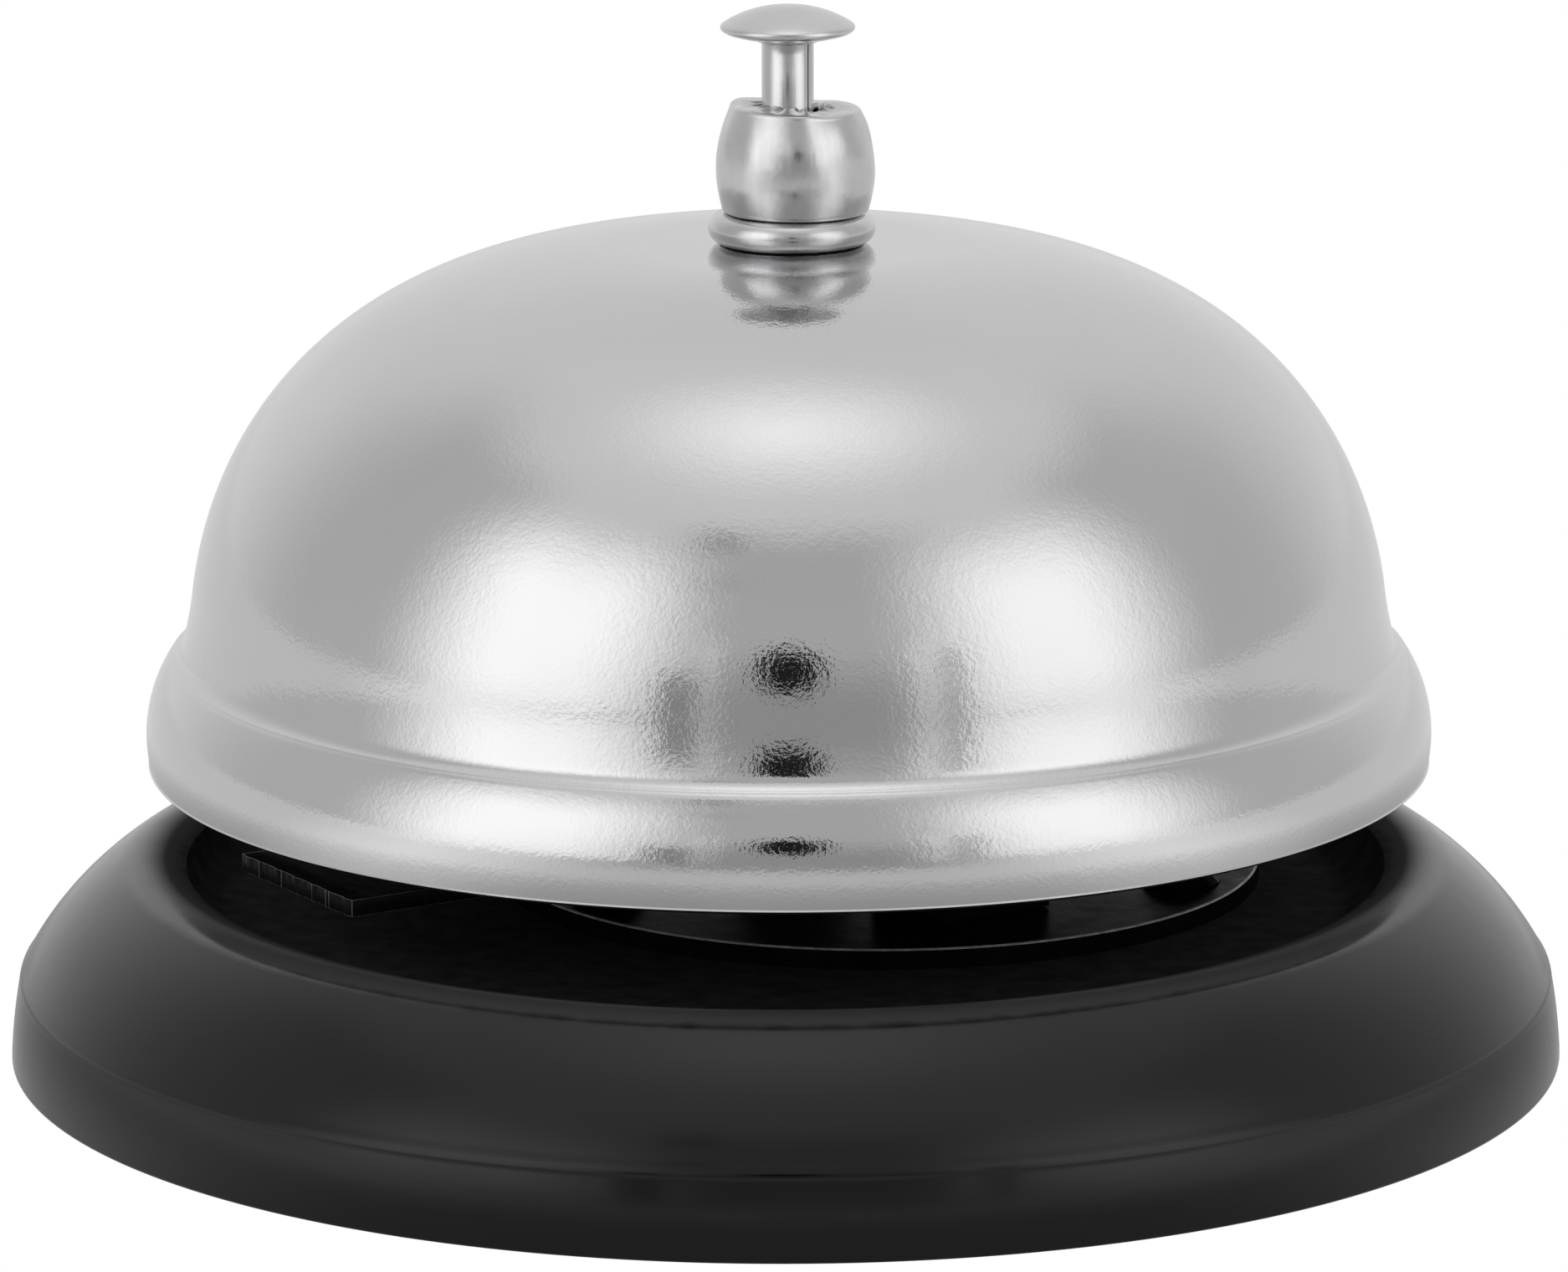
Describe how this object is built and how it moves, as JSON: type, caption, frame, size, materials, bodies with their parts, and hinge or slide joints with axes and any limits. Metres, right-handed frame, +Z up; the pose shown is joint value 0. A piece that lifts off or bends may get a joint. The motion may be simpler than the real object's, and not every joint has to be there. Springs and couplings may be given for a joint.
{
  "type": "service bell",
  "caption": "Counter service bell: black dished base, flat-topped nickel bell and a mushroom push button that flicks a hinged striker up against the lip.",
  "frame": {"origin": "centre of the underside of the base, on the surface it stands on", "axes": "+Z up along the plunger; the striker points to 212 degrees from +X about +Z, so -Y is the front of the picture's view"},
  "size_m": [0.085, 0.085, 0.0576],
  "materials": {
    "nickel": "satin nickel plate with a fine orange peel",
    "zinc_steel": "dull zinc plated steel",
    "black_paint": "gloss black stove enamel on pressed steel",
    "black_steel": "thin semi-gloss black on sheared steel strip",
    "pad_rubber": "matt black rubber"
  },
  "bodies": {
    "base": {"base_dish": "black_paint", "base_pad": "pad_rubber", "mechanism_plate": "black_steel", "plate_rivet_rear": "black_steel", "plate_rivet_left": "black_steel", "plate_rivet_right": "black_steel", "bridge_rivet_front": "black_steel", "bridge_rivet_rear": "black_steel", "bridge_bracket": "black_steel", "post_tube": "zinc_steel", "pivot_pin": "zinc_steel", "pin_ring": "zinc_steel", "support_washer": "zinc_steel", "support_nut": "zinc_steel", "bell_dome": "nickel", "bell_collar": "nickel", "barrel_nut": "nickel", "nut_insert": "zinc_steel", "return_spring": "zinc_steel"},
    "plunger": {"plunger_button": "nickel", "plunger_rod": "zinc_steel", "plunger_sleeve": "nickel", "drive_clip": "zinc_steel", "seat_clip": "zinc_steel", "spring_seat": "zinc_steel"},
    "hammer": {"hammer_arm": "black_steel", "hammer_bush": "zinc_steel"}
  },
  "joints": [
    {"name": "plunger_press", "type": "slide", "parent": "base", "child": "plunger", "axis": [0, 0, -1], "range_m": [0, 0.0023], "stiffness_N_per_m": 400, "springref_m": -0.003, "deforming": ["return_spring"]},
    {"name": "hammer_swing", "type": "hinge", "parent": "base", "child": "hammer", "pos_m": [-0.00743, -0.00477, 0.0243], "axis": [-0.5299, 0.848, 0], "range_deg": [0, 14]}
  ],
  "couplings": [
    {"joint": "hammer_swing", "follows": "plunger_press", "rad_per_m": 106.2}
  ]
}
